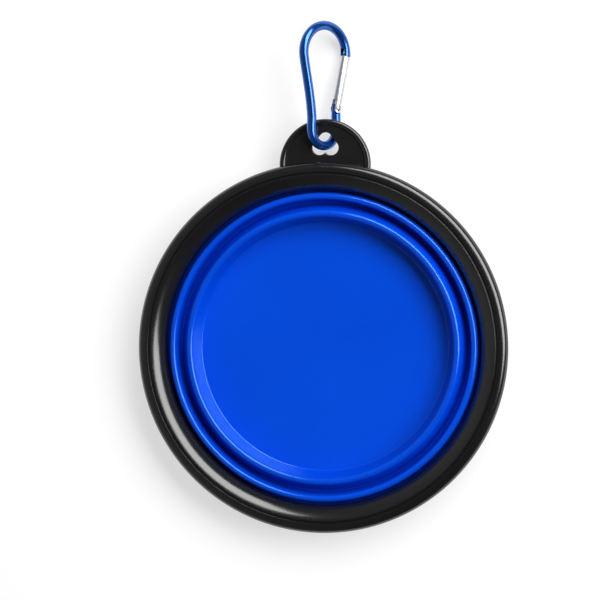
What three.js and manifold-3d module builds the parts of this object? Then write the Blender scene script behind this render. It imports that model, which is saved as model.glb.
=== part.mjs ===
// A collapsible pet bowl with a carabiner, folded flat with its inside facing up.
// Millimetres. The origin is the middle of the base underside, +Z is up and +Y points to the hang tab.
import * as THREE from "three";
import { mergeVertices } from "three/addons/utils/BufferGeometryUtils.js";
import Module from "manifold-3d";

const wasm = await Module();
wasm.setup();

// Clearances between pieces that are bonded or run on each other.
const seatGap = 0.3;
const fineGap = 0.25;

// Steps on round shapes.
const turnSegments = 48;
const wallSteps = 3;
const roundSteps = 4;
const lobeSteps = 12;
const eyeSteps = 16;
const barSteps = 60;
const barSides = 12;
const pinSides = 16;

// Rim ring.
const rimOuterRadius = 65;
const rimWidth = 9;
const rimTop = 13;
const rimWall = 1.8;
const rimRoof = 2.2;
const rimInnerRound = 4;
const rimOuterRound = 2.2;
const outerBeadWidth = 4;
const outerBeadDrop = 0.3;
const grooveWidth = 0.8;
const grooveDepth = 0.7;
const outerSkirtHeight = 7;
const innerSkirtHeight = 9.8;
const skirtDraft = 0.6;
const ceilingFillet = 0.9;

// Hang tab with its raised border and three-lobed hole.
const tabRadius = 16;
const tabInset = 1;
const tabBottom = 7.3;
const tabThickness = 1.9;
const borderWidth = 2.4;
const borderFlat = 1.2;
const borderRise = 0.8;
const tabEdge = 0.4;
const lowerLobeRadius = 2.6;
const lowerLobeSpacing = 4;
const upperLobeRadius = 2.3;
const lobePitch = 3;
const holeToTabEdge = 10;

// Soft bowl: centreline steps from the rim inwards, heights of the folds and the wall.
const softWall = 1.1;
const lipInset = 0.6;
const upperFoldStep = 2.4;
const middleWallStep = 2.4;
const lowerFoldStep = 3.4;
const panWallStep = 2.6;
const panTurn = 1.5;
const valleyTurn = 0.8;
const upperRidgeTurn = 0.75;
const lowerRidgeTurn = 0.75;
const valleyLift = 0.7;
const upperRidgeTop = 9.4;
const lowerRidgeTop = 9.6;
const floorThickness = 2;
const floorEdge = 0.6;
const lipGrip = 2.3;
const lipGripWall = 1;
const lipEdge = 0.5;
const halfWall = softWall / 2;

// Carabiner frame: a bar bent round a small lower eye and a wide upper eye.
const barDiameter = 3.3;
const lowerEyeRadius = 5.5;
const upperEyeRadius = 9.5;
const eyeSpacing = 27;
const spineLeave = 10;
const spineKink = 4.8;
const hingeHeight = 7.8;
const noseTrim = 1.2;
const carabinerRoll = 46;
const carabinerOffset = -0.7;
const eyeInHole = 0.6;

// Carabiner gate and its small parts.
const gateDiameter = 3.3;
const gateBore = 1.7;
const boreDepth = 9.8;
const hingePinDiameter = 1;
const rivetHeadDiameter = 2;
const rivetHeadHeight = 0.4;
const tongueThickness = 1.3;
const tongueReach = 1.2;
const shoulderGap = 0.45;
const forkRoom = 0.9;
const bladeThickness = 0.9;
const bladeWidth = 2.2;
const bladeReach = 2.1;
const bladeRoot = 1;
const latchPinDiameter = 0.7;
const latchPinLength = 1.9;
const latchPinRise = 1.3;
const plungerLength = 2.7;
const plungerNose = 0.28;
const springWire = 0.26;
const springCurls = 9;
const curlSteps = 8;
const wireSides = 5;

// Materials.
const rimBlack = new THREE.MeshStandardMaterial({ color: 0x17171a, roughness: 0.45, metalness: 0 });
const softBlue = new THREE.MeshStandardMaterial({ color: 0x0346d2, roughness: 0.5, metalness: 0 });
const anodisedBlue = new THREE.MeshStandardMaterial({ color: 0x0c3f9c, roughness: 0.25, metalness: 0.9 });
const bareAluminium = new THREE.MeshStandardMaterial({ color: 0xb9bcc0, roughness: 0.35, metalness: 1 });
const steel = new THREE.MeshStandardMaterial({ color: 0xc9c9c9, roughness: 0.3, metalness: 1 });

// Shared shaping functions.
const radians = THREE.MathUtils.degToRad;

function point(x, y) {
  return new THREE.Vector2(x, y);
}

// Points on a circle from one angle to another, in degrees.
function arc(x, y, radius, from, to, steps) {
  return Array.from({ length: steps + 1 }, (_, i) => {
    const angle = radians(from + ((to - from) * i) / steps);
    return point(x + radius * Math.cos(angle), y + radius * Math.sin(angle));
  });
}

// A wall of even thickness on both sides of a centreline of round turns and the straight runs between them.
function wallProfile(turns) {
  const side = (offset) =>
    turns.flatMap(({ x, y, radius, from, to }) =>
      arc(x, y, radius + (to < from ? offset : -offset), from, to, wallSteps),
    );
  return [...side(halfWall), ...side(-halfWall).reverse()];
}

// A many-sided round section.
function roundSection(radius, sides) {
  return new THREE.Shape(arc(0, 0, radius, 0, 360 - 360 / sides, sides - 1));
}

// A profile of radius and height turned about +Z.
function revolve(profile, segments = turnSegments) {
  const points = THREE.ShapeUtils.area(profile) > 0 ? [...profile] : [...profile].reverse();
  if (points.every((p) => p.x > 0)) points.push(points[0].clone());
  return new THREE.LatheGeometry(points, segments).rotateX(Math.PI / 2);
}

function box(low, high) {
  const size = high.map((value, i) => value - low[i]);
  const middle = high.map((value, i) => (value + low[i]) / 2);
  return new THREE.BoxGeometry(...size).translate(...middle);
}

// A round bar along Y or Z between two stations.
function barAlongY(radius, from, to, sides = pinSides) {
  return new THREE.CylinderGeometry(radius, radius, to - from, sides).translate(0, (from + to) / 2, 0);
}

function barAlongZ(radius, from, to, sides = pinSides) {
  const bar = new THREE.CylinderGeometry(radius, radius, to - from, sides);
  return bar.rotateX(Math.PI / 2).translate(0, 0, (from + to) / 2);
}

function solidOf(geometry) {
  const bare = geometry.clone();
  bare.deleteAttribute("normal");
  bare.deleteAttribute("uv");
  const merged = mergeVertices(bare, 1e-4);
  const vertProperties = merged.attributes.position.array;
  const triVerts = new Uint32Array(merged.index.array);
  return new wasm.Manifold(new wasm.Mesh({ numProp: 3, vertProperties, triVerts }));
}

function geometryOf(solid) {
  const mesh = solid.getMesh();
  const geometry = new THREE.BufferGeometry();
  geometry.setAttribute("position", new THREE.BufferAttribute(mesh.vertProperties, 3));
  geometry.setIndex(new THREE.BufferAttribute(mesh.triVerts, 1));
  geometry.computeVertexNormals();
  return geometry;
}

function piece(name, geometry, material) {
  const mesh = new THREE.Mesh(geometry, material);
  mesh.name = name;
  return mesh;
}

const bowl = new THREE.Group();

// Rim ring: an upside-down channel whose inner round leads down to the soft bowl.
const rimInnerRadius = rimOuterRadius - rimWidth;
const beadTop = rimTop - outerBeadDrop;
const grooveRadius = rimOuterRadius - outerBeadWidth;
const outerSkirtBottom = rimTop - outerSkirtHeight;
const innerSkirtBottom = rimTop - innerSkirtHeight;
const rimCeiling = rimTop - rimRoof;
const grooveFlank = grooveWidth / 4;
const ringProfile = [
  point(rimInnerRadius, innerSkirtBottom),
  ...arc(rimInnerRadius + rimInnerRound, rimTop - rimInnerRound, rimInnerRound, 180, 90, roundSteps),
  point(grooveRadius - grooveWidth / 2, rimTop),
  point(grooveRadius - grooveFlank, rimTop - grooveDepth),
  point(grooveRadius + grooveFlank, rimTop - grooveDepth),
  point(grooveRadius + grooveWidth / 2, beadTop),
  ...arc(rimOuterRadius - rimOuterRound, beadTop - rimOuterRound, rimOuterRound, 90, 0, roundSteps),
  point(rimOuterRadius - skirtDraft, outerSkirtBottom),
  point(rimOuterRadius - skirtDraft - rimWall, outerSkirtBottom),
  point(rimOuterRadius - rimWall, rimCeiling - ceilingFillet),
  point(rimOuterRadius - rimWall - ceilingFillet, rimCeiling),
  point(rimInnerRadius + rimWall + ceilingFillet, rimCeiling),
  point(rimInnerRadius + rimWall, rimCeiling - ceilingFillet),
  point(rimInnerRadius + rimWall, innerSkirtBottom),
];

// Hang tab: a round plate with a raised border, cut off inside the rim's outer skirt.
const tabCentre = rimOuterRadius - tabInset;
const plateTop = tabBottom + tabThickness;
const borderTop = plateTop + borderRise;
const borderMiddle = tabRadius - borderWidth / 2;
const tabProfile = [
  point(0, tabBottom),
  point(tabRadius - tabEdge, tabBottom),
  point(tabRadius, tabBottom + tabEdge),
  point(tabRadius, plateTop),
  point(borderMiddle + borderFlat / 2, borderTop),
  point(borderMiddle - borderFlat / 2, borderTop),
  point(tabRadius - borderWidth, plateTop),
  point(0, plateTop),
];

// Three-lobed hole: two lower lobes that meet in a cusp, and an upper lobe joined by straight flanks.
const holeY = tabCentre + tabRadius - holeToTabEdge;
const lobeHalf = lowerLobeSpacing / 2;
const lobeGap = Math.hypot(lobeHalf, lobePitch);
const flankLean = Math.asin((lowerLobeRadius - upperLobeRadius) / lobeGap);
const flankAngle = THREE.MathUtils.radToDeg(Math.atan2(lobeHalf, lobePitch) + flankLean);
const cuspAngle = THREE.MathUtils.radToDeg(Math.acos(lobeHalf / lowerLobeRadius));
const holeOutline = new THREE.Shape([
  ...arc(lobeHalf, holeY, lowerLobeRadius, cuspAngle - 180, flankAngle, lobeSteps),
  ...arc(0, holeY + lobePitch, upperLobeRadius, flankAngle, 180 - flankAngle, lobeSteps),
  ...arc(-lobeHalf, holeY, lowerLobeRadius, 180 - flankAngle, 360 - cuspAngle, lobeSteps).slice(0, -1),
]);
const holeCut = new THREE.ExtrudeGeometry(holeOutline, { depth: rimTop, bevelEnabled: false });
const skirtMiddle = rimOuterRadius - skirtDraft - rimWall / 2;
const skirtCore = barAlongZ(skirtMiddle, 0, rimTop, turnSegments);
const tab = solidOf(revolve(tabProfile).translate(0, tabCentre, 0)).subtract(solidOf(skirtCore));
const rimRing = solidOf(revolve(ringProfile)).add(tab).subtract(solidOf(holeCut));
bowl.add(piece("rim_ring", geometryOf(rimRing), rimBlack));

// Soft bowl: the centreline zigzags between low valleys and high ridges.
const lipRadius = rimInnerRadius - lipInset;
const upperRidgeRadius = lipRadius - upperFoldStep;
const valleyRadius = upperRidgeRadius - middleWallStep;
const lowerRidgeRadius = valleyRadius - lowerFoldStep;
const valleyCentre = valleyLift + halfWall + valleyTurn;
const upperRidgeCentre = upperRidgeTop - halfWall - upperRidgeTurn;
const lowerRidgeCentre = lowerRidgeTop - halfWall - lowerRidgeTurn;

// The angle that leaves half a seat gap at a ridge top or a valley bottom.
function splitAngle(turn) {
  return THREE.MathUtils.radToDeg(seatGap / 2 / turn);
}
const valleySplit = splitAngle(valleyTurn);
const upperSplit = splitAngle(upperRidgeTurn);
const lowerSplit = splitAngle(lowerRidgeTurn);

// Rim lip: grips the inner skirt of the rim from below and ends where the upper fold starts.
const skirtOuter = rimInnerRadius + rimWall;
const lipOuter = skirtOuter + seatGap + lipGripWall;
const lipProfile = [
  point(lipRadius + seatGap / 2, valleyLift),
  point(lipOuter - lipEdge, valleyLift),
  point(lipOuter, valleyLift + lipEdge),
  point(lipOuter, innerSkirtBottom + lipGrip),
  point(lipOuter - lipGripWall, innerSkirtBottom + lipGrip),
  point(lipOuter - lipGripWall, innerSkirtBottom - seatGap),
  point(rimInnerRadius, innerSkirtBottom - seatGap),
  point(lipRadius + seatGap / 2, valleyLift + softWall),
];
bowl.add(piece("rim_lip", revolve(lipProfile), softBlue));

function lipValley(from, to) {
  return { x: lipRadius, y: valleyCentre, radius: valleyTurn, from, to };
}
function upperRidge(from, to) {
  return { x: upperRidgeRadius, y: upperRidgeCentre, radius: upperRidgeTurn, from, to };
}
function middleValley(from, to) {
  return { x: valleyRadius, y: valleyCentre, radius: valleyTurn, from, to };
}
function lowerRidge(from, to) {
  return { x: lowerRidgeRadius, y: lowerRidgeCentre, radius: lowerRidgeTurn, from, to };
}

const upperFold = [lipValley(270 - valleySplit, 180), upperRidge(0, 90 - upperSplit)];
const middleWall = [upperRidge(90 + upperSplit, 180), middleValley(360, 270 + valleySplit)];
const lowerFold = [middleValley(270 - valleySplit, 180), lowerRidge(0, 90 - lowerSplit)];
bowl.add(piece("upper_fold", revolve(wallProfile(upperFold)), softBlue));
bowl.add(piece("middle_wall", revolve(wallProfile(middleWall)), softBlue));
bowl.add(piece("lower_fold", revolve(wallProfile(lowerFold)), softBlue));

// Floor pan: a flat floor with a sloping wall that rolls over at the lower ridge.
const panRadius = lowerRidgeRadius - panWallStep;
const cornerX = panRadius - panTurn;
const cornerY = floorThickness / 2 + panTurn;
const panCorner = { x: cornerX, y: cornerY, radius: panTurn, from: 360, to: 270 };
const panWall = [lowerRidge(90 + lowerSplit, 180), panCorner];
const floorProfile = [
  point(0, 0),
  point(cornerX, 0),
  point(cornerX + floorEdge, floorEdge),
  point(cornerX + floorEdge, floorThickness - floorEdge),
  point(panRadius - floorEdge, floorThickness),
  point(0, floorThickness),
];
const floorPan = solidOf(revolve(wallProfile(panWall))).add(solidOf(revolve(floorProfile)));
bowl.add(piece("floor_pan", geometryOf(floorPan), softBlue));

// Carabiner: its own plane is XY, with the lower eye's lowest point at the origin. It is rolled about Y.
const carabiner = new THREE.Group();
carabiner.position.set(carabinerOffset, holeY + eyeInHole, tabBottom + (borderTop - tabBottom) / 2);
carabiner.rotation.y = radians(carabinerRoll);
bowl.add(carabiner);

// The gate's line runs from the hinge pin to touch the upper eye, and the nose is cut off square to it.
const barRadius = barDiameter / 2;
const hingeX = lowerEyeRadius;
const hingeY = lowerEyeRadius + hingeHeight;
const upperEyeY = lowerEyeRadius + eyeSpacing;
const hingeToEye = Math.hypot(hingeX, upperEyeY - hingeY);
const gateTouch = Math.sqrt(hingeToEye ** 2 - upperEyeRadius ** 2);
const gateReach = gateTouch + noseTrim;
const gateLean = Math.asin(upperEyeRadius / hingeToEye) - Math.atan2(hingeX, upperEyeY - hingeY);
const noseAngle = -THREE.MathUtils.radToDeg(gateLean);

function onGateLine(geometry) {
  return geometry.rotateZ(-gateLean).translate(hingeX, hingeY, 0);
}

// Bar centreline: from the nose over the upper eye, down the spine with its kink and round to the hinge.
const upperEye = arc(0, upperEyeY, upperEyeRadius, noseAngle, 180 + spineLeave, eyeSteps);
const kink = point(-lowerEyeRadius, lowerEyeRadius + spineKink);
const lowerEye = arc(0, lowerEyeRadius, lowerEyeRadius, 180, 360, eyeSteps);
const hingeEnd = [point(hingeX, hingeY - barRadius), point(hingeX, hingeY + barRadius)];
const barPoints = [...upperEye, kink, ...lowerEye, ...hingeEnd];
const barLine = barPoints.map((p) => new THREE.Vector3(p.x, p.y, 0));
const barPath = new THREE.CatmullRomCurve3(barLine, false, "centripetal");
const barSection = roundSection(barRadius, barSides);
const barGeometry = new THREE.ExtrudeGeometry(barSection, { steps: barSteps, extrudePath: barPath });

// Nose: a square end, a slot for the gate's blade, and a hook pocket open to the inside for the latch pin.
const noseFoot = gateTouch - barRadius;
const noseEnd = box([-barDiameter, noseFoot, -barDiameter], [barDiameter, gateReach, barDiameter]);
const slotHalf = bladeThickness / 2 + fineGap;
const latchY = gateReach + latchPinRise;
const bladeTip = gateReach + bladeReach;
const slotTop = bladeTip + fineGap;
const noseSlot = box([-barDiameter, noseFoot, -slotHalf], [barDiameter, slotTop, slotHalf]);
const pinRoom = latchPinDiameter / 2 + fineGap;
const hookHalf = latchPinLength / 2 + fineGap;
const hookLow = [-barDiameter, latchY - pinRoom, -hookHalf];
const noseHook = box(hookLow, [pinRoom, latchY + pinRoom, hookHalf]);

// Hinge end: a flat tongue above a shoulder, squared off under the plunger.
const tongueHalf = tongueThickness / 2;
const gateRadius = gateDiameter / 2;
const shoulderY = hingeY - gateRadius - shoulderGap;
const tongueLeft = hingeX - barDiameter;
const tongueRight = hingeX + barDiameter;
const tongueEnd = hingeY + barDiameter;
const tongueSides = [
  box([tongueLeft, shoulderY, tongueHalf], [tongueRight, tongueEnd, barDiameter]),
  box([tongueLeft, shoulderY, -barDiameter], [tongueRight, tongueEnd, -tongueHalf]),
];
const tongueTop = box([-barDiameter, tongueReach, -barDiameter], [barDiameter, gateReach / 2, barDiameter]);
const hingeHole = barAlongZ(hingePinDiameter / 2 + fineGap, -barDiameter, barDiameter);
const frameCuts = [noseEnd, noseSlot, noseHook, tongueTop].map(onGateLine);
frameCuts.push(...tongueSides, hingeHole.clone().translate(hingeX, hingeY, 0));
const frame = frameCuts.reduce((solid, cut) => solid.subtract(solidOf(cut)), solidOf(barGeometry));
carabiner.add(piece("carabiner_frame", geometryOf(frame), anodisedBlue));

// Gate group: Y runs along the gate from the hinge pin to the nose.
const gate = new THREE.Group();
gate.position.set(hingeX, hingeY, 0);
gate.rotation.z = -gateLean;
carabiner.add(gate);

// Gate: a bored bar, forked round the tongue, with a thin blade at its upper end.
const forkHalf = tongueHalf + fineGap;
const forkTop = Math.hypot(barRadius, tongueReach) + forkRoom;
const gateTop = gateReach - seatGap;
const boreEnd = forkTop + boreDepth;
const roundEnd = solidOf(barAlongZ(gateRadius, -gateDiameter, gateDiameter));
const forkEnd = solidOf(barAlongY(gateRadius, -gateRadius, gateRadius)).intersect(
  roundEnd.add(solidOf(box([-gateDiameter, 0, -gateDiameter], [gateDiameter, gateDiameter, gateDiameter]))),
);
const bladeHalf = bladeThickness / 2;
const bladeFoot = gateTop - bladeRoot;
const blade = box([-bladeWidth / 2, bladeFoot, -bladeHalf], [bladeWidth / 2, bladeTip, bladeHalf]);
const gateCuts = [
  box([-gateDiameter, -gateDiameter, -forkHalf], [gateDiameter, forkTop, forkHalf]),
  barAlongY(gateBore / 2, forkTop - seatGap, boreEnd, barSides),
  hingeHole,
  barAlongZ(pinRoom, -barDiameter, barDiameter, barSides).translate(0, latchY, 0),
];
const gateBlank = forkEnd.add(solidOf(barAlongY(gateRadius, 0, gateTop))).add(solidOf(blade));
const gateSolid = gateCuts.reduce((solid, cut) => solid.subtract(solidOf(cut)), gateBlank);
gate.add(piece("carabiner_gate", geometryOf(gateSolid), bareAluminium));

// Pins: a rivet with two heads at the hinge, and a plain cross pin at the nose.
const headUnder = gateRadius + fineGap;
const headTop = headUnder + rivetHeadHeight;
const rivetProfile = [
  point(0, -headTop),
  point(rivetHeadDiameter / 2, -headTop),
  point(rivetHeadDiameter / 2, -headUnder),
  point(hingePinDiameter / 2, -headUnder),
  point(hingePinDiameter / 2, headUnder),
  point(rivetHeadDiameter / 2, headUnder),
  point(rivetHeadDiameter / 2, headTop),
  point(0, headTop),
];
gate.add(piece("gate_hinge_pin", revolve(rivetProfile, pinSides), steel));
const latchPin = barAlongZ(latchPinDiameter / 2, -latchPinLength / 2, latchPinLength / 2, barSides);
gate.add(piece("gate_latch_pin", latchPin.translate(0, latchY, 0), steel));

// Plunger and spring: the spring presses the plunger on the squared tongue and so shuts the gate.
const plungerRadius = gateBore / 2 - seatGap;
const plungerTip = tongueReach + seatGap;
const plungerEnd = plungerTip + plungerLength;
const plungerProfile = [
  point(0, plungerTip),
  point(plungerRadius - plungerNose, plungerTip),
  point(plungerRadius, plungerTip + plungerNose),
  point(plungerRadius, plungerEnd),
  point(0, plungerEnd),
];
gate.add(piece("gate_plunger", revolve(plungerProfile, barSides).rotateX(-Math.PI / 2), steel));

// Spring: one unbroken wire on a helix.
const wireRadius = springWire / 2;
const helixRadius = plungerRadius - wireRadius;
const springStart = plungerEnd + seatGap + wireRadius;
const springEnd = boreEnd - seatGap - wireRadius;
class Helix extends THREE.Curve {
  getPoint(t, target = new THREE.Vector3()) {
    const angle = t * springCurls * 2 * Math.PI;
    const height = springStart + t * (springEnd - springStart);
    return target.set(helixRadius * Math.cos(angle), height, helixRadius * Math.sin(angle));
  }
}
const wireSection = roundSection(wireRadius, wireSides);
const springSteps = springCurls * curlSteps;
const spring = new THREE.ExtrudeGeometry(wireSection, { steps: springSteps, extrudePath: new Helix() });
gate.add(piece("gate_spring", spring, steel));
const curlGap = (springEnd - springStart) / springCurls - springWire;
console.log(`least gap between spring curls ${curlGap.toFixed(2)} mm`);

export default bowl;
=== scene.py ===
import math
from collections import namedtuple

import bmesh
import bpy
from mathutils import Matrix, Quaternion, Vector


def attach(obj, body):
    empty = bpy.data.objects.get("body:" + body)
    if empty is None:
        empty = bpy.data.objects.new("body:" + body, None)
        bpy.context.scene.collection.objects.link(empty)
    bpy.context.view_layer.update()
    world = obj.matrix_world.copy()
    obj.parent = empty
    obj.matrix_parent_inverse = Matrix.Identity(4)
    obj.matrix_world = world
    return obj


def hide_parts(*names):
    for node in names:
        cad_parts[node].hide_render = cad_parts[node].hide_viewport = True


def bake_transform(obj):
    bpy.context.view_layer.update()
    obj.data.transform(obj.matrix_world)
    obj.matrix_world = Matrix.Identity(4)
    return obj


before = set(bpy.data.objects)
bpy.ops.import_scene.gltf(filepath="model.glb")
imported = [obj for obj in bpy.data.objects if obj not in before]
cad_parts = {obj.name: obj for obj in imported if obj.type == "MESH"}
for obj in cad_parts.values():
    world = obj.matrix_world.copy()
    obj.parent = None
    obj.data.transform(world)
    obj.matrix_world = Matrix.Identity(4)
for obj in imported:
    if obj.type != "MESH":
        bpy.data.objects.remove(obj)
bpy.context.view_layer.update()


# Floor pan: the flat floor of the bowl and the sloping wall round it, moulded in one soft
# blue elastomer with the folds. It stands on the table, and its wall rolls over at the lower ridge.
MM = 0.001
Turn = namedtuple("Turn", "x z radius sense")
soft_wall = 1.1
floor_top = 2.0
floor_corner = Turn(x=43.45, z=2.65, radius=1.2, sense=1)
lower_ridge = Turn(x=47.1, z=8.25, radius=0.8, sense=-1)
sole_radius = 42.9
sole_edge = 0.6
sole_heading = math.radians(20)
level = 0.0
turn_steps = 28
weld = 0.002
sliver = 0.001
smooth_limit = math.radians(35)


def on_turn(turn, heading, side=0.0):
    """The point of a round turn where the wall runs at this heading, on its middle or one side of it.

    A turn is round a centre at x and z. Its sense is 1 in a valley and -1 on a ridge.
    """
    reach = turn.sense * turn.radius - side
    return (turn.x + reach * math.sin(heading), turn.z - reach * math.cos(heading))


def run_between(first, second):
    """The heading of the straight wall that leaves one turn and joins the next."""
    across = second.x - first.x
    rise = second.z - first.z
    lean = (second.sense * second.radius - first.sense * first.radius) / math.hypot(across, rise)
    return math.atan2(rise, across) - math.asin(lean)


def turn_points(turn, start, end, side):
    """Points along one side of a turn, from one heading to another."""
    headings = [start + (end - start) * i / turn_steps for i in range(turn_steps + 1)]
    return [on_turn(turn, heading, side) for heading in headings]


def wall_side(first, second, side):
    """One side of a wall that starts level in one turn and ends level in the next."""
    run = run_between(first, second)
    return turn_points(first, level, run, side) + turn_points(second, run, level, side)


def spin_profile(bm, profile, centre=(0, 0), start=0.0, angle=math.tau, steps=192):
    """Turn a closed profile of radius and height, in millimetres, about an upright axis."""
    turned = Matrix.Translation((centre[0] * MM, centre[1] * MM, 0)) @ Matrix.Rotation(start, 4, "Z")
    verts = [bm.verts.new(turned @ Vector((r * MM, 0, z * MM))) for r, z in profile]
    off_axis = [i for i in range(len(verts)) if profile[i - 1][0] or profile[i][0]]
    edges = [bm.edges.new((verts[i - 1], verts[i])) for i in off_axis]
    whole = angle == math.tau
    spun = bmesh.ops.spin(
        bm,
        geom=verts + edges,
        cent=(centre[0] * MM, centre[1] * MM, 0),
        axis=(0, 0, 1),
        angle=angle,
        steps=steps,
        use_merge=whole,
    )
    if not whole:
        last = [item for item in spun["geom_last"] if isinstance(item, bmesh.types.BMEdge)]
        bmesh.ops.edgeloop_fill(bm, edges=edges)
        bmesh.ops.edgeloop_fill(bm, edges=last)


def piece_from(bm, name):
    """Close the mesh, point its faces outwards and make it an object with smooth rounds."""
    bmesh.ops.remove_doubles(bm, verts=bm.verts[:], dist=weld * MM)
    bmesh.ops.dissolve_degenerate(bm, edges=bm.edges[:], dist=sliver * MM)
    bmesh.ops.recalc_face_normals(bm, faces=bm.faces[:])
    mesh = bpy.data.meshes.new(name)
    bm.to_mesh(mesh)
    bm.free()
    mesh.shade_smooth()
    mesh.set_sharp_from_angle(angle=smooth_limit)
    piece = bpy.data.objects.new(name, mesh)
    bpy.context.scene.collection.objects.link(piece)
    return piece


# The sockets of a Mix node share their names, so they are taken by their places.
mix_factor = 0
mix_float_a = 2
mix_float_b = 3
mix_float_out = 0
mix_colour_a = 6
mix_colour_b = 7
mix_colour_out = 2
noise_low = 0.3
noise_high = 0.7
patch_detail = 3
grain_detail = 2
grain_depth = 0.05


def moulded_surface():
    """Slow changes of tone and gloss with a fine moulded grain, for the plastic and the elastomer."""
    group = bpy.data.node_groups.new("moulded_surface", "ShaderNodeTree")
    for name, kind in (
        ("Deep Tone", "NodeSocketColor"),
        ("Light Tone", "NodeSocketColor"),
        ("Patch Scale", "NodeSocketFloat"),
        ("Grain Scale", "NodeSocketFloat"),
        ("Least Roughness", "NodeSocketFloat"),
        ("Most Roughness", "NodeSocketFloat"),
    ):
        group.interface.new_socket(name, in_out="INPUT", socket_type=kind)
    for name, kind in (
        ("Color", "NodeSocketColor"),
        ("Roughness", "NodeSocketFloat"),
        ("Height", "NodeSocketFloat"),
    ):
        group.interface.new_socket(name, in_out="OUTPUT", socket_type=kind)
    nodes = group.nodes
    link = group.links.new
    given = nodes.new("NodeGroupInput")
    result = nodes.new("NodeGroupOutput")
    place = nodes.new("ShaderNodeTexCoord").outputs["Object"]
    patches = nodes.new("ShaderNodeTexNoise")
    patches.inputs["Detail"].default_value = patch_detail
    grain = nodes.new("ShaderNodeTexNoise")
    grain.inputs["Detail"].default_value = grain_detail
    tone = nodes.new("ShaderNodeMix")
    tone.data_type = "RGBA"
    gloss = nodes.new("ShaderNodeMapRange")
    link(place, patches.inputs["Vector"])
    link(place, grain.inputs["Vector"])
    link(given.outputs["Patch Scale"], patches.inputs["Scale"])
    link(given.outputs["Grain Scale"], grain.inputs["Scale"])
    link(patches.outputs["Fac"], tone.inputs["Factor"])
    link(given.outputs["Deep Tone"], tone.inputs[mix_colour_a])
    link(given.outputs["Light Tone"], tone.inputs[mix_colour_b])
    link(grain.outputs["Fac"], gloss.inputs["Value"])
    gloss.inputs["From Min"].default_value = noise_low
    gloss.inputs["From Max"].default_value = noise_high
    link(given.outputs["Least Roughness"], gloss.inputs["To Min"])
    link(given.outputs["Most Roughness"], gloss.inputs["To Max"])
    link(tone.outputs[mix_colour_out], result.inputs["Color"])
    link(gloss.outputs["Result"], result.inputs["Roughness"])
    link(grain.outputs["Fac"], result.inputs["Height"])
    return group


moulding = moulded_surface()


def moulded_material(
    name, deep, light, patch_scale, grain_scale, roughness, bump, shine, tint=(1, 1, 1)
):
    """A moulded plastic or elastomer, with two tones, a range of roughness and a shine."""
    material = bpy.data.materials.new(name)
    material.use_nodes = True
    nodes = material.node_tree.nodes
    link = material.node_tree.links.new
    shader = nodes["Principled BSDF"]
    shader.inputs["Specular IOR Level"].default_value = shine
    shader.inputs["Specular Tint"].default_value = (*tint, 1)
    surface = nodes.new("ShaderNodeGroup")
    surface.node_tree = moulding
    surface.inputs["Deep Tone"].default_value = (*deep, 1)
    surface.inputs["Light Tone"].default_value = (*light, 1)
    surface.inputs["Patch Scale"].default_value = patch_scale
    surface.inputs["Grain Scale"].default_value = grain_scale
    surface.inputs["Least Roughness"].default_value = roughness[0]
    surface.inputs["Most Roughness"].default_value = roughness[1]
    relief = nodes.new("ShaderNodeBump")
    relief.inputs["Strength"].default_value = bump
    relief.inputs["Distance"].default_value = grain_depth * MM
    link(surface.outputs["Color"], shader.inputs["Base Color"])
    link(surface.outputs["Roughness"], shader.inputs["Roughness"])
    link(surface.outputs["Height"], relief.inputs["Height"])
    link(relief.outputs["Normal"], shader.inputs["Normal"])
    return material


soft_blue = moulded_material(
    "soft_blue",
    deep=(0, 0.058, 0.62),
    light=(0, 0.076, 0.78),
    patch_scale=28,
    grain_scale=2600,
    roughness=(0.12, 0.18),
    bump=0.1,
    shine=0.75,
    tint=(0.4, 0.9, 1),
)
pan_run = run_between(floor_corner, lower_ridge)
inside = wall_side(floor_corner, lower_ridge, soft_wall / 2)
outside = turn_points(floor_corner, sole_heading, pan_run, -soft_wall / 2)
outside += turn_points(lower_ridge, pan_run, level, -soft_wall / 2)
sole = [(0, 0), (sole_radius, 0), (sole_radius + sole_edge, sole_edge)]
bm = bmesh.new()
spin_profile(bm, [(0, floor_top), *inside, *reversed(outside), *reversed(sole)])
floor_pan = piece_from(bm, "floor_pan_moulding")
floor_pan.data.materials.append(soft_blue)
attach(floor_pan, "base")
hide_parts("floor_pan")


# Lower fold: the thin web of the same moulding that hangs from the lower ridge to the valley
# beside it. It turns inside out when the bowl is pulled open.
middle_valley = Turn(x=50.9, z=2.05, radius=0.8, sense=1)


def fold_band(name, first, second):
    """A band of the soft wall from the middle of one turn to the middle of the next."""
    bm = bmesh.new()
    upper = wall_side(first, second, soft_wall / 2)
    lower = wall_side(first, second, -soft_wall / 2)
    spin_profile(bm, [*upper, *reversed(lower)])
    band = piece_from(bm, name)
    band.data.materials.append(soft_blue)
    return band


lower_fold = fold_band("lower_fold_web", lower_ridge, middle_valley)
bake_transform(lower_fold)
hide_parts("lower_fold")


# Middle wall: the stiffer band of the moulding between the two folds, from the valley up to the
# upper ridge. It keeps its shape and rises as one ring.
upper_ridge = Turn(x=53.1, z=8.25, radius=0.6, sense=-1)
middle_wall = fold_band("middle_wall_band", middle_valley, upper_ridge)
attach(middle_wall, "middle")
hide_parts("middle_wall")


# Upper fold: the second thin web, from the upper ridge down to the valley at the foot of the rim.
# It turns inside out as the lower one does.
lip_valley = Turn(x=55.4, z=2.05, radius=0.8, sense=1)
upper_fold = fold_band("upper_fold_web", upper_ridge, lip_valley)
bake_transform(upper_fold)
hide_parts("upper_fold")


# Rim lip: the edge of the soft moulding, which wraps the foot of the rim's inner skirt
# and is bonded to it from below.
rim_inner = 56.0
rim_wall = 1.8
inner_skirt_foot = 3.2
lip_floor = 0.7
lip_wall = 1.0
lip_top = 5.5
bond = 0.05


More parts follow.
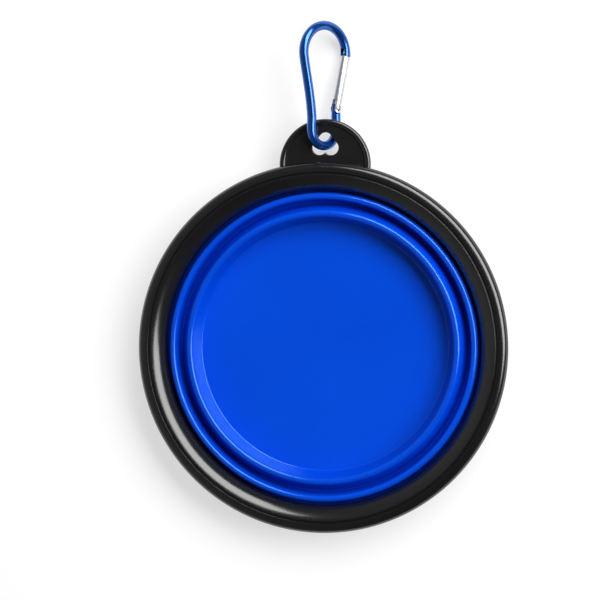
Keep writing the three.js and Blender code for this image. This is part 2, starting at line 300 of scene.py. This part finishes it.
def corner_points(x, z, radius, start, end, steps=8):
    """A rounded corner about a centre, from one angle to another in degrees."""
    angles = [math.radians(start + (end - start) * i / steps) for i in range(steps + 1)]
    return [(x + radius * math.cos(a), z + radius * math.sin(a)) for a in angles]


lip_inner_face = rim_inner + rim_wall + bond
lip_outer_face = lip_inner_face + lip_wall
lip_round = 0.45
lip_profile = [
    (lip_valley.x, lip_floor),
    *corner_points(lip_outer_face - lip_round, lip_floor + lip_round, lip_round, -90, 0),
    *corner_points(lip_outer_face - lip_round, lip_top - lip_round, lip_round, 0, 90),
    (lip_inner_face, lip_top),
    (lip_inner_face, inner_skirt_foot - bond),
    (rim_inner + bond, inner_skirt_foot - bond),
    (rim_inner - bond, lip_floor + soft_wall + lip_round),
    (lip_valley.x, lip_floor + soft_wall),
]
bm = bmesh.new()
spin_profile(bm, lip_profile)
rim_lip = piece_from(bm, "rim_lip_edge")
rim_lip.data.materials.append(soft_blue)
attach(rim_lip, "rim")
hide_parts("rim_lip")


# Rim ring: one black plastic moulding, an upside-down channel with a sloping inner side, a fine
# groove in its top and a crowned outer bead. The hang tab, with its raised border, is part of it.
rim_outer = 65.0
rim_top = 13.0
inner_slope = 8.0
inner_round = 3.6
inner_bead = 0.6
slope_start = 16.3
slope_end = 55
slope_steps = 16
crown_drop = 0.02
bead_top = 12.75
bead_crown = 6.0
bead_tilt = 15
bead_steps = 24
groove_middle = 61.0
groove_half = 0.4
groove_floor = 12.25
groove_lip = 0.12
outer_skirt_foot = 6.0
skirt_draft = 0.6
skirt_round = 0.4
channel_roof = 10.8
channel_fillet = 0.9
ring_steps = 256
round_x = rim_inner - inner_bead + inner_round
crown_x = groove_middle - groove_half - groove_lip
slope_top = math.radians(90 + slope_start)
slope_x = round_x + (inner_slope - inner_round) * math.sin(math.radians(slope_end))
slope_z = rim_top - inner_slope * math.sin(slope_top) - crown_drop
round_z = slope_z + (inner_slope - inner_round) * math.cos(math.radians(slope_end))
bead_x = groove_middle + groove_half + groove_lip
bead_lean = math.radians(bead_tilt)
outer_round = (rim_outer - bead_x - bead_crown * math.sin(bead_lean)) / (1 - math.sin(bead_lean))
outer_z = bead_top - bead_crown + (bead_crown - outer_round) * math.cos(bead_lean)
outer_foot_x = rim_outer - skirt_draft - skirt_round
ring_profile = [
    *corner_points(rim_inner + skirt_round, inner_skirt_foot + skirt_round, skirt_round, 270, 180),
    *corner_points(round_x, round_z, inner_round, 180, 90 + slope_end, slope_steps),
    *corner_points(slope_x, slope_z, inner_slope, 90 + slope_end, 90 + slope_start, slope_steps),
    *corner_points(crown_x, rim_top - groove_lip, groove_lip, 90, 0),
    (groove_middle - groove_half / 2, groove_floor),
    (groove_middle + groove_half / 2, groove_floor),
    *corner_points(bead_x, bead_top - groove_lip, groove_lip, 180, 90),
    *corner_points(bead_x, bead_top - bead_crown, bead_crown, 90, 90 - bead_tilt)[1:],
    *corner_points(rim_outer - outer_round, outer_z, outer_round, 90 - bead_tilt, 0, bead_steps)[1:],
    *corner_points(outer_foot_x, outer_skirt_foot + skirt_round, skirt_round, 0, -90),
    (rim_outer - skirt_draft - rim_wall, outer_skirt_foot),
    (rim_outer - rim_wall, channel_roof - channel_fillet),
    (rim_outer - rim_wall - channel_fillet, channel_roof),
    (rim_inner + rim_wall + channel_fillet, channel_roof),
    (rim_inner + rim_wall, channel_roof - channel_fillet),
    (rim_inner + rim_wall, inner_skirt_foot),
]
bm = bmesh.new()
spin_profile(bm, ring_profile, steps=ring_steps)

tab_middle = (0.0, 64.0)
tab_radius = 16.0
tab_under = 7.3
plate_top = 9.2
border_width = 2.4
border_top = 10.0
border_round = 1.0
border_foot = 0.35
border_lean = 0.2
border_roll = 170
border_steps = 96
tab_sweep = math.radians(196)
tab_start = math.radians(-8)
border_inner = tab_radius - border_width
border_x = border_inner + border_round + border_lean
border_profile = [
    *corner_points(tab_radius - border_foot, tab_under + border_foot, border_foot, -90, 0),
    *corner_points(tab_radius - border_round, border_top - border_round, border_round, 0, 90),
    *corner_points(border_x, border_top - border_round, border_round, 90, border_roll),
    (border_inner, plate_top),
    (border_inner, tab_under),
]
spin_profile(
    bm, border_profile, centre=tab_middle, start=tab_start, angle=tab_sweep, steps=border_steps
)

hole_middle = 70.0
low_lobe = 2.6
low_lobe_half = 2.0
top_lobe = 2.3
lobe_pitch = 3.0
hole_fillet = 0.35
lobe_steps = 28
top_lobe_steps = 20
plate_inset = 0.03
plate_steps = 64
root_steps = 24
plate_radius = tab_radius - border_width / 2
plate_under = tab_under + plate_inset
root_radius = 63.5


def hole_outline(grown):
    """The three-lobed hole, with every lobe grown by the same amount."""
    low = low_lobe + grown
    top = top_lobe + grown
    lean = math.asin((low - top) / math.hypot(low_lobe_half, lobe_pitch))
    flank = math.degrees(math.atan2(low_lobe_half, lobe_pitch) + lean)
    cusp = math.degrees(math.acos(low_lobe_half / low))
    right = corner_points(low_lobe_half, hole_middle, low, cusp - 180, flank, lobe_steps)
    crown = corner_points(0, hole_middle + lobe_pitch, top, flank, 180 - flank, top_lobe_steps)
    left = corner_points(-low_lobe_half, hole_middle, low, 180 - flank, 360 - cusp, lobe_steps)
    return right + crown + left[:-1]


def ring_of(bm, outline, height):
    """A closed loop of edges through an outline at one height."""
    verts = [bm.verts.new((x * MM, y * MM, height * MM)) for x, y in outline]
    return [bm.edges.new((verts[i - 1], verts[i])) for i in range(len(verts))]


root_half = math.degrees(math.asin(plate_radius * math.cos(tab_start) / root_radius))
plate_start = math.degrees(tab_start)
plate_outline = [
    *corner_points(*tab_middle, plate_radius, plate_start, 180 - plate_start, plate_steps),
    *corner_points(0, 0, root_radius, 90 + root_half, 90 - root_half, root_steps),
]
fillet_steps = 6
fillet_turns = [math.pi / 2 * i / fillet_steps for i in range(fillet_steps + 1)]
upper_rings = [
    (hole_fillet * (1 - math.sin(turn)), plate_top - hole_fillet * (1 - math.cos(turn)))
    for turn in fillet_turns
]
lower_rings = [(grown, plate_under + plate_top - height) for grown, height in reversed(upper_rings)]
hole_loops = [ring_of(bm, hole_outline(grown), height) for grown, height in upper_rings + lower_rings]
for above, below in zip(hole_loops, hole_loops[1:]):
    bmesh.ops.bridge_loops(bm, edges=above + below)
plate_upper = ring_of(bm, plate_outline, plate_top)
plate_lower = ring_of(bm, plate_outline, plate_under)
bmesh.ops.bridge_loops(bm, edges=plate_upper + plate_lower)
bmesh.ops.triangle_fill(bm, edges=plate_upper + hole_loops[0], use_beauty=True)
bmesh.ops.triangle_fill(bm, edges=plate_lower + hole_loops[-1], use_beauty=True)
rim_ring = piece_from(bm, "rim_ring_moulding")
rim_black = moulded_material(
    "rim_black",
    deep=(0.004, 0.004, 0.005),
    light=(0.0075, 0.0075, 0.0085),
    patch_scale=60,
    grain_scale=1800,
    roughness=(0.16, 0.22),
    bump=0.06,
    shine=0.88,
)
rim_ring.data.materials.append(rim_black)
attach(rim_ring, "rim")
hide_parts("rim_ring")


# Carabiner frame: round aluminium bar, bent round a small and a wide eye and anodised blue. Its
# nose is slotted for the gate's blade, and its other end is flattened to a hinge tongue.
bar_radius = 1.65
low_eye = 5.5
high_eye = 9.5
eye_spacing = 27.0
spine_leave = 10
spine_kink = 4.8
hinge_rise = 7.8
nose_trim = 1.2
carabiner_place = Vector((-0.7, 70.6, 8.65)) * MM
carabiner_lie = math.radians(46)
nose_flare = 1.12
flare_fade = 0.04
high_eye_steps = 20
low_eye_steps = 16
bar_facets = 8
wire_steps = 6
rod_sides = 40
edge_round = 0.12
edge_steps = 3
edge_limit = math.radians(40)
running_gap = 0.25
in_carabiner = Matrix.Translation(carabiner_place) @ Matrix.Rotation(carabiner_lie, 4, "Y")
high_middle = low_eye + eye_spacing
hinge_x = low_eye
hinge_y = low_eye + hinge_rise
hinge_to_eye = math.hypot(hinge_x, high_middle - hinge_y)
gate_touch = math.sqrt(hinge_to_eye**2 - high_eye**2)
gate_reach = gate_touch + nose_trim
gate_lean = math.asin(high_eye / hinge_to_eye) - math.atan2(hinge_x, high_middle - hinge_y)
on_gate = Matrix.Translation((hinge_x * MM, hinge_y * MM, 0)) @ Matrix.Rotation(-gate_lean, 4, "Z")


def bent_wire(name, path, radius, thickness, facets):
    """A round wire through points in millimetres, each with its share of the full thickness."""
    curve = bpy.data.curves.new(name, "CURVE")
    curve.dimensions = "3D"
    curve.twist_mode = "MINIMUM"
    curve.resolution_u = wire_steps
    curve.bevel_depth = radius * MM
    curve.bevel_resolution = facets
    curve.use_fill_caps = True
    spline = curve.splines.new("BEZIER")
    spline.bezier_points.add(len(path) - 1)
    for knot, place, share in zip(spline.bezier_points, path, thickness):
        knot.co = Vector(place) * MM
        knot.handle_left_type = "AUTO"
        knot.handle_right_type = "AUTO"
        knot.radius = share
    wire = bpy.data.objects.new(name + "_curve", curve)
    bpy.context.scene.collection.objects.link(wire)
    bpy.context.view_layer.update()
    graph = bpy.context.evaluated_depsgraph_get()
    swept = bpy.data.meshes.new_from_object(wire.evaluated_get(graph))
    bpy.data.objects.remove(wire)
    bm = bmesh.new()
    bm.from_mesh(swept)
    return piece_from(bm, name)


def block(low, high, place=Matrix.Identity(4)):
    """A plain cutting block between two corners, in millimetres."""
    size = [(b - a) * MM for a, b in zip(low, high)]
    middle = [(a + b) / 2 * MM for a, b in zip(low, high)]
    bm = bmesh.new()
    bmesh.ops.create_cube(bm, size=1)
    bmesh.ops.scale(bm, vec=size, verts=bm.verts)
    bmesh.ops.translate(bm, vec=middle, verts=bm.verts)
    bmesh.ops.transform(bm, matrix=place, verts=bm.verts)
    return piece_from(bm, "cutting_block")


def rod(radius, start, end, turned="Z", place=Matrix.Identity(4)):
    """A round rod along Y or Z between two stations, in millimetres."""
    bm = bmesh.new()
    length = end - start
    bmesh.ops.create_cone(
        bm,
        cap_ends=True,
        segments=rod_sides,
        radius1=radius * MM,
        radius2=radius * MM,
        depth=length * MM,
    )
    bmesh.ops.translate(bm, vec=(0, 0, (start + end) / 2 * MM), verts=bm.verts)
    if turned == "Y":
        quarter_turn = Matrix.Rotation(-math.pi / 2, 3, "X")
        bmesh.ops.rotate(bm, cent=(0, 0, 0), matrix=quarter_turn, verts=bm.verts)
    bmesh.ops.transform(bm, matrix=place, verts=bm.verts)
    return piece_from(bm, "round_rod")


def machined(piece, tools, place):
    """Cut a piece with its tools, break its sharp edges and set it in its place."""
    for tool in tools:
        cut = piece.modifiers.new("cut", "BOOLEAN")
        cut.operation = "DIFFERENCE"
        cut.solver = "EXACT"
        cut.object = tool
    broken = piece.modifiers.new("broken_edges", "BEVEL")
    broken.width = edge_round * MM
    broken.segments = edge_steps
    broken.limit_method = "ANGLE"
    broken.angle_limit = edge_limit
    bpy.context.view_layer.update()
    graph = bpy.context.evaluated_depsgraph_get()
    finished = bpy.data.meshes.new_from_object(piece.evaluated_get(graph))
    piece.modifiers.clear()
    finished.transform(place)
    finished.shade_smooth()
    finished.set_sharp_from_angle(angle=edge_limit)
    finished.name = piece.name
    piece.data = finished
    for tool in tools:
        bpy.data.objects.remove(tool)


streak_detail = 4
streak_depth = 0.02
coat_roughness = 0.14
coat_ior = 1.6
coat_tint = (0.15, 0.65, 1, 1)
no_tint = (1, 1, 1, 1)


def metal_surface():
    """Fine streaks of tone and gloss on drawn, tumbled or anodised metal."""
    group = bpy.data.node_groups.new("metal_surface", "ShaderNodeTree")
    for name, kind in (
        ("Deep Tone", "NodeSocketColor"),
        ("Light Tone", "NodeSocketColor"),
        ("Streak", "NodeSocketVector"),
        ("Least Roughness", "NodeSocketFloat"),
        ("Most Roughness", "NodeSocketFloat"),
    ):
        group.interface.new_socket(name, in_out="INPUT", socket_type=kind)
    for name, kind in (
        ("Color", "NodeSocketColor"),
        ("Roughness", "NodeSocketFloat"),
        ("Height", "NodeSocketFloat"),
    ):
        group.interface.new_socket(name, in_out="OUTPUT", socket_type=kind)
    nodes = group.nodes
    link = group.links.new
    given = nodes.new("NodeGroupInput")
    result = nodes.new("NodeGroupOutput")
    place = nodes.new("ShaderNodeTexCoord").outputs["Object"]
    stretch = nodes.new("ShaderNodeMapping")
    streaks = nodes.new("ShaderNodeTexNoise")
    streaks.inputs["Scale"].default_value = 1
    streaks.inputs["Detail"].default_value = streak_detail
    tone = nodes.new("ShaderNodeMix")
    tone.data_type = "RGBA"
    gloss = nodes.new("ShaderNodeMapRange")
    gloss.inputs["From Min"].default_value = noise_low
    gloss.inputs["From Max"].default_value = noise_high
    link(place, stretch.inputs["Vector"])
    link(given.outputs["Streak"], stretch.inputs["Scale"])
    link(stretch.outputs["Vector"], streaks.inputs["Vector"])
    link(streaks.outputs["Fac"], tone.inputs["Factor"])
    link(given.outputs["Deep Tone"], tone.inputs[mix_colour_a])
    link(given.outputs["Light Tone"], tone.inputs[mix_colour_b])
    link(streaks.outputs["Fac"], gloss.inputs["Value"])
    link(given.outputs["Least Roughness"], gloss.inputs["To Min"])
    link(given.outputs["Most Roughness"], gloss.inputs["To Max"])
    link(tone.outputs[mix_colour_out], result.inputs["Color"])
    link(gloss.outputs["Result"], result.inputs["Roughness"])
    link(streaks.outputs["Fac"], result.inputs["Height"])
    return group


metal_finish = metal_surface()


def metal_material(name, deep, light, streak, roughness, bump, metallic=1.0, coat=0.0):
    """A metal with two tones and a range of roughness, under a clear coat where one is given."""
    material = bpy.data.materials.new(name)
    material.use_nodes = True
    nodes = material.node_tree.nodes
    link = material.node_tree.links.new
    shader = nodes["Principled BSDF"]
    shader.inputs["Metallic"].default_value = metallic
    shader.inputs["Coat Weight"].default_value = coat
    shader.inputs["Coat Roughness"].default_value = coat_roughness
    shader.inputs["Coat IOR"].default_value = coat_ior
    shader.inputs["Specular Tint"].default_value = coat_tint if coat else no_tint
    surface = nodes.new("ShaderNodeGroup")
    surface.node_tree = metal_finish
    surface.inputs["Deep Tone"].default_value = (*deep, 1)
    surface.inputs["Light Tone"].default_value = (*light, 1)
    surface.inputs["Streak"].default_value = streak
    surface.inputs["Least Roughness"].default_value = roughness[0]
    surface.inputs["Most Roughness"].default_value = roughness[1]
    relief = nodes.new("ShaderNodeBump")
    relief.inputs["Strength"].default_value = bump
    relief.inputs["Distance"].default_value = streak_depth * MM
    link(surface.outputs["Color"], shader.inputs["Base Color"])
    link(surface.outputs["Roughness"], shader.inputs["Roughness"])
    link(surface.outputs["Height"], relief.inputs["Height"])
    link(relief.outputs["Normal"], shader.inputs["Normal"])
    return material


gate_radius = 1.65
tongue_half = 0.65
tongue_reach = 1.2
shoulder_gap = 0.45
hinge_pin_radius = 0.5
pin_gap = 0.08
blade_half = 0.45
blade_reach = 2.1
latch_pin_radius = 0.35
latch_rise = 1.3
latch_pin_half = 0.95
wide = 2 * bar_radius
nose_foot = gate_touch - bar_radius
slot_half = blade_half + running_gap
blade_tip = gate_reach + blade_reach
latch_y = gate_reach + latch_rise
pin_room = latch_pin_radius + running_gap
hook_half = latch_pin_half + running_gap
shoulder_y = hinge_y - gate_radius - shoulder_gap
high_start = -math.degrees(gate_lean)
high_arc = corner_points(0, high_middle, high_eye, high_start, 180 + spine_leave, high_eye_steps)
low_arc = corner_points(0, low_eye, low_eye, 180, 360, low_eye_steps)
kink = (-low_eye, low_eye + spine_kink)
hinge_end = [(hinge_x, hinge_y - bar_radius), (hinge_x, hinge_y + bar_radius)]
bar_path = [(x, y, 0) for x, y in [*high_arc, kink, *low_arc, *hinge_end]]
bar_thickness = [max(1, nose_flare - flare_fade * i) for i in range(len(bar_path))]
carabiner_frame = bent_wire("carabiner_frame_bar", bar_path, bar_radius, bar_thickness, bar_facets)
nose_end = block((-wide, nose_foot, -wide), (wide, gate_reach, wide), on_gate)
blade_slot = block((-wide, nose_foot, -slot_half), (wide, blade_tip + running_gap, slot_half), on_gate)
latch_hook = block(
    (-wide, latch_y - pin_room, -hook_half), (pin_room, latch_y + pin_room, hook_half), on_gate
)
tongue_end = block((-wide, tongue_reach, -wide), (wide, gate_reach / 2, wide), on_gate)
upper_flat = block((hinge_x - wide, shoulder_y, tongue_half), (hinge_x + wide, hinge_y + wide, wide))
lower_flat = block((hinge_x - wide, shoulder_y, -wide), (hinge_x + wide, hinge_y + wide, -tongue_half))
tongue_hole = rod(hinge_pin_radius + pin_gap, -wide, wide, "Z", on_gate)
nose_tools = [nose_end, blade_slot, latch_hook]
tongue_tools = [tongue_end, upper_flat, lower_flat, tongue_hole]
machined(carabiner_frame, nose_tools + tongue_tools, in_carabiner)
anodised_blue = metal_material(
    "anodised_blue",
    deep=(0.002, 0.085, 0.43),
    light=(0.004, 0.105, 0.52),
    streak=(900, 900, 900),
    roughness=(0.15, 0.21),
    bump=0.04,
    metallic=0.8,
    coat=0.85,
)
carabiner_frame.data.materials.clear()
carabiner_frame.data.materials.append(anodised_blue)
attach(carabiner_frame, "carabiner")
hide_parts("carabiner_frame")


# Carabiner gate: a bright aluminium bar, bored for its spring. It is forked round the hinge tongue,
# and a thin blade at its upper end slips into the slot of the nose.
seat_gap = 0.3
fork_room = 0.9
bore_radius = 0.85
bore_depth = 9.8
blade_width = 1.1
fork_steps = 32
in_gate = in_carabiner @ on_gate
fork_half = tongue_half + running_gap
fork_top = math.hypot(bar_radius, tongue_reach) + fork_room
gate_top = gate_reach - seat_gap
bore_end = fork_top + bore_depth


def fork_rounding():
    """The tool that leaves the fork's end round about the hinge pin."""
    round_end = corner_points(0, 0, gate_radius, 0, -180, fork_steps)
    outline = [(wide, 0), *round_end, (-wide, 0), (-wide, -wide), (wide, -wide)]
    bm = bmesh.new()
    verts = [bm.verts.new((x * MM, y * MM, -wide * MM)) for x, y in outline]
    face = bm.faces.new(verts)
    raised = bmesh.ops.extrude_face_region(bm, geom=[face])
    moved = [item for item in raised["geom"] if isinstance(item, bmesh.types.BMVert)]
    bmesh.ops.translate(bm, vec=(0, 0, 2 * wide * MM), verts=moved)
    return piece_from(bm, "fork_rounding")


carabiner_gate = rod(gate_radius, -gate_radius, gate_top, "Y")
carabiner_gate.name = "carabiner_gate_bar"
fork_end = fork_rounding()
fork_slot = block((-wide, -wide, -fork_half), (wide, fork_top, fork_half))
spring_bore = rod(bore_radius, fork_top - seat_gap, bore_end, "Y")
fork_hole = rod(hinge_pin_radius + pin_gap, -wide, wide)
machined(carabiner_gate, [fork_end, fork_slot, spring_bore, fork_hole], in_gate)
blade_low = (-blade_width, gate_top - seat_gap, -blade_half)
gate_blade = block(blade_low, (blade_width, blade_tip, blade_half))
gate_blade.name = "carabiner_gate_blade"
machined(gate_blade, [], in_gate)
gate_silver = metal_material(
    "gate_silver",
    deep=(0.7, 0.71, 0.73),
    light=(0.82, 0.83, 0.85),
    streak=(900, 60, 900),
    roughness=(0.32, 0.42),
    bump=0.04,
)
for gate_piece in (carabiner_gate, gate_blade):
    gate_piece.data.materials.clear()
    gate_piece.data.materials.append(gate_silver)
    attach(gate_piece, "gate")
    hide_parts("carabiner_gate")


# Pins: a steel rivet with two low domed heads holds the gate on the tongue, and a plain cross pin
# in the blade hooks behind the nose.
rivet_head_radius = 1.0
rivet_head = 0.4
head_gap = 0.02
dome_steps = 8
pin_steps = 32
head_under = gate_radius + head_gap
dome_turns = [math.pi / 2 * i / dome_steps for i in range(dome_steps + 1)]
dome = [
    (rivet_head_radius * math.cos(turn), head_under + rivet_head * math.sin(turn))
    for turn in dome_turns
]
rivet_half = [(hinge_pin_radius, 0), (hinge_pin_radius, head_under), *dome]
rivet_profile = [*rivet_half, *((r, -z) for r, z in reversed(rivet_half[1:]))]
bm = bmesh.new()
spin_profile(bm, rivet_profile, steps=pin_steps)
hinge_pin = piece_from(bm, "gate_hinge_rivet")
hinge_pin.data.transform(in_gate)
latch_pin = rod(latch_pin_radius, -latch_pin_half, latch_pin_half)
latch_pin.name = "gate_latch_cross_pin"
machined(latch_pin, [], in_gate @ Matrix.Translation((0, latch_y * MM, 0)))
pin_steel = metal_material(
    "pin_steel",
    deep=(0.52, 0.52, 0.52),
    light=(0.68, 0.68, 0.67),
    streak=(1500, 1500, 1500),
    roughness=(0.2, 0.34),
    bump=0.15,
)
for pin, body, node in ((hinge_pin, "carabiner", "gate_hinge_pin"), (latch_pin, "gate", "gate_latch_pin")):
    pin.data.materials.clear()
    pin.data.materials.append(pin_steel)
    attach(pin, body)
    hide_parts(node)


# Plunger and spring: they lie in the gate's bore. The spring presses the round-nosed steel plunger
# on the squared tongue, and that shuts the gate.
plunger_length = 2.7
plunger_nose = 0.28
spring_wire = 0.13
spring_curls = 9
curl_steps = 16
wire_facets = 2
plunger_radius = bore_radius - seat_gap
plunger_tip = tongue_reach + seat_gap
plunger_end = plunger_tip + plunger_length
plunger_profile = [
    (0, plunger_tip),
    *corner_points(plunger_radius - plunger_nose, plunger_tip + plunger_nose, plunger_nose, -90, 0),
    (plunger_radius, plunger_end),
    (0, plunger_end),
]
bm = bmesh.new()
spin_profile(bm, plunger_profile, steps=pin_steps)
plunger = piece_from(bm, "gate_plunger_pin")
plunger.data.transform(in_gate @ Matrix.Rotation(-math.pi / 2, 4, "X"))
plunger.data.materials.append(pin_steel)
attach(plunger, "plunger")
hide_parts("gate_plunger")

helix_radius = plunger_radius - spring_wire
spring_start = plunger_end + seat_gap + spring_wire
spring_end = bore_end - seat_gap - spring_wire
helix = []
for i in range(spring_curls * curl_steps + 1):
    turn = math.tau * i / curl_steps
    climb = (spring_end - spring_start) * i / (spring_curls * curl_steps)
    helix.append((helix_radius * math.cos(turn), spring_start + climb, helix_radius * math.sin(turn)))
spring = bent_wire("gate_spring_coil", helix, spring_wire, [1] * len(helix), wire_facets)
spring.data.transform(in_gate)
spring_steel = metal_material(
    "spring_steel",
    deep=(0.38, 0.38, 0.4),
    light=(0.55, 0.55, 0.56),
    streak=(3000, 3000, 3000),
    roughness=(0.25, 0.4),
    bump=0.1,
)
spring.data.materials.append(spring_steel)
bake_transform(spring)
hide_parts("gate_spring")


# Studio: a plain white sweep under the bowl, one large soft lamp from the upper right, and a dim
# room that is paler near the floor and on the left. The camera looks almost straight down.
floor_size = 6.0
floor_glow = 0.62
floor_shade = 0.42
floor_drop = 0.05
floor_roughness = 0.9
bm = bmesh.new()
bmesh.ops.create_grid(bm, x_segments=1, y_segments=1, size=floor_size / 2)
bmesh.ops.translate(bm, vec=(0, 0, -floor_drop * MM), verts=bm.verts)
studio_floor = piece_from(bm, "studio_floor")
sweep = bpy.data.materials.new("studio_sweep")
sweep.use_nodes = True
sweep_nodes = sweep.node_tree.nodes
sweep_link = sweep.node_tree.links.new
sweep_shader = sweep_nodes["Principled BSDF"]
sweep_shader.inputs["Base Color"].default_value = (floor_shade, floor_shade, floor_shade, 1)
sweep_shader.inputs["Roughness"].default_value = floor_roughness
sweep_shader.inputs["Specular IOR Level"].default_value = 0.0
# The floor glows for the camera and in reflections only, so that it is white and throws no extra light.
floor_rays = sweep_nodes.new("ShaderNodeLightPath")
seen = sweep_nodes.new("ShaderNodeMath")
seen.operation = "MAXIMUM"
seen_or_through = sweep_nodes.new("ShaderNodeMath")
seen_or_through.operation = "MAXIMUM"
glow = sweep_nodes.new("ShaderNodeMath")
glow.operation = "MULTIPLY"
glow.inputs[1].default_value = floor_glow
sweep_link(floor_rays.outputs["Is Camera Ray"], seen.inputs[0])
sweep_link(floor_rays.outputs["Is Glossy Ray"], seen.inputs[1])
sweep_link(seen.outputs["Value"], seen_or_through.inputs[0])
sweep_link(floor_rays.outputs["Is Transmission Ray"], seen_or_through.inputs[1])
sweep_link(seen_or_through.outputs["Value"], glow.inputs[0])
sweep_shader.inputs["Emission Color"].default_value = (1, 1, 1, 1)
sweep_link(glow.outputs["Value"], sweep_shader.inputs["Emission Strength"])
studio_floor.data.materials.append(sweep)

horizon_light = 0.09
zenith_light = 0.04
zenith_edge = 0.9
left_light = 0.23
left_edge = 0.1
left_full = -0.8
backdrop_light = 1.0
room = bpy.data.worlds.new("studio_room")
bpy.context.scene.world = room
room.use_nodes = True
room_nodes = room.node_tree.nodes
room_link = room.node_tree.links.new
room_light = room_nodes["Background"]
room_light.inputs["Color"].default_value = (1, 1, 1, 1)
direction = room_nodes.new("ShaderNodeTexCoord")
parts = room_nodes.new("ShaderNodeSeparateXYZ")
wall_light = room_nodes.new("ShaderNodeMapRange")
wall_light.inputs["From Min"].default_value = 0.0
wall_light.inputs["From Max"].default_value = zenith_edge
wall_light.inputs["To Min"].default_value = horizon_light
wall_light.inputs["To Max"].default_value = zenith_light
left_wall = room_nodes.new("ShaderNodeMapRange")
left_wall.inputs["From Min"].default_value = left_edge
left_wall.inputs["From Max"].default_value = left_full
left_wall.inputs["To Min"].default_value = 0.0
left_wall.inputs["To Max"].default_value = left_light
both_walls = room_nodes.new("ShaderNodeMath")
both_walls.operation = "ADD"
# The camera sees a white backdrop where the object is lit by the dim room.
room_rays = room_nodes.new("ShaderNodeLightPath")
backdrop = room_nodes.new("ShaderNodeMix")
backdrop.data_type = "FLOAT"
backdrop.inputs[mix_float_b].default_value = backdrop_light
room_link(direction.outputs["Generated"], parts.inputs["Vector"])
room_link(parts.outputs["Z"], wall_light.inputs["Value"])
room_link(parts.outputs["X"], left_wall.inputs["Value"])
room_link(wall_light.outputs["Result"], both_walls.inputs[0])
room_link(left_wall.outputs["Result"], both_walls.inputs[1])
room_link(room_rays.outputs["Is Camera Ray"], backdrop.inputs[mix_factor])
room_link(both_walls.outputs["Value"], backdrop.inputs[mix_float_a])
room_link(backdrop.outputs[mix_float_out], room_light.inputs["Strength"])

lamp_azimuth = math.radians(38)
lamp_height = math.radians(44)
lamp_distance = 1.7
lamp_width = 2.5
lamp_depth = 1.0
lamp_power = 51.0
lamp_data = bpy.data.lights.new("soft_lamp", "AREA")
lamp_data.shape = "RECTANGLE"
lamp_data.size = lamp_width
lamp_data.size_y = lamp_depth
lamp_data.energy = lamp_power
lamp = bpy.data.objects.new("soft_lamp", lamp_data)
bpy.context.scene.collection.objects.link(lamp)
lamp_way = Vector(
    (
        math.cos(lamp_height) * math.cos(lamp_azimuth),
        math.cos(lamp_height) * math.sin(lamp_azimuth),
        math.sin(lamp_height),
    )
)
lamp.location = lamp_way * lamp_distance
lamp.rotation_mode = "QUATERNION"
lamp.rotation_quaternion = lamp_way.to_track_quat("Z", "Y")

aim = Vector((-7.7, 16.7, 13.0)) * MM
view_span = 209.3 * MM
view_distance = 0.9
view_tilt = math.radians(6.8)
view_azimuth = math.radians(15.7)
view_roll = math.radians(0.8)
camera_data = bpy.data.cameras.new("photo_camera")
camera_data.sensor_width = 36
camera_data.lens = camera_data.sensor_width * view_distance / view_span
camera = bpy.data.objects.new("photo_camera", camera_data)
bpy.context.scene.collection.objects.link(camera)
view_way = Vector(
    (
        math.sin(view_tilt) * math.cos(view_azimuth),
        math.sin(view_tilt) * math.sin(view_azimuth),
        math.cos(view_tilt),
    )
)
camera.location = aim + view_way * view_distance
right = Vector((0, 1, 0)).cross(view_way).normalized()
up = view_way.cross(right)
looking = Matrix((right, up, view_way)).transposed()
camera.rotation_mode = "QUATERNION"
camera.rotation_quaternion = looking.to_quaternion() @ Quaternion((0, 0, 1), view_roll)
bpy.context.scene.camera = camera
bpy.context.scene.view_settings.view_transform = "Standard"
